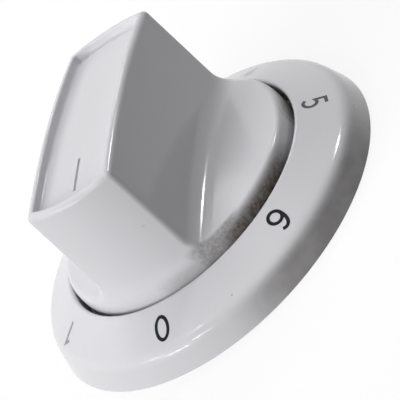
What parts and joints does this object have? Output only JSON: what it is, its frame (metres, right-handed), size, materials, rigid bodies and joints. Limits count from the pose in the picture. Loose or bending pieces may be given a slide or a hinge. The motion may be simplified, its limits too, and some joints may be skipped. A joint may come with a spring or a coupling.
{
  "type": "oven control knob",
  "caption": "Pale glossy plastic oven control knob: a finger bar on a domed base turns inside a fixed, sloping numbered ring and grips a D-shaped switch shaft.",
  "frame": {"origin": "centre of the ring's back face, where it meets the panel", "axes": "+Z out of the front along the turning axis, +Y towards the zero of the scale, with the pointer at rest on it"},
  "size_m": [0.06, 0.06, 0.0276],
  "materials": {
    "ring_plastic": "gloss",
    "grip_plastic": "gloss",
    "spring_steel": "brushed"
  },
  "bodies": {
    "dial": {"dial_ring": "ring_plastic"},
    "grip": {"knob_grip": "grip_plastic", "shaft_spring": "spring_steel"}
  },
  "joints": [
    {"name": "knob_turn", "type": "hinge", "parent": "dial", "child": "grip", "pos_m": [0, 0, 0], "axis": [0, 0, -1], "continuous": true}
  ]
}
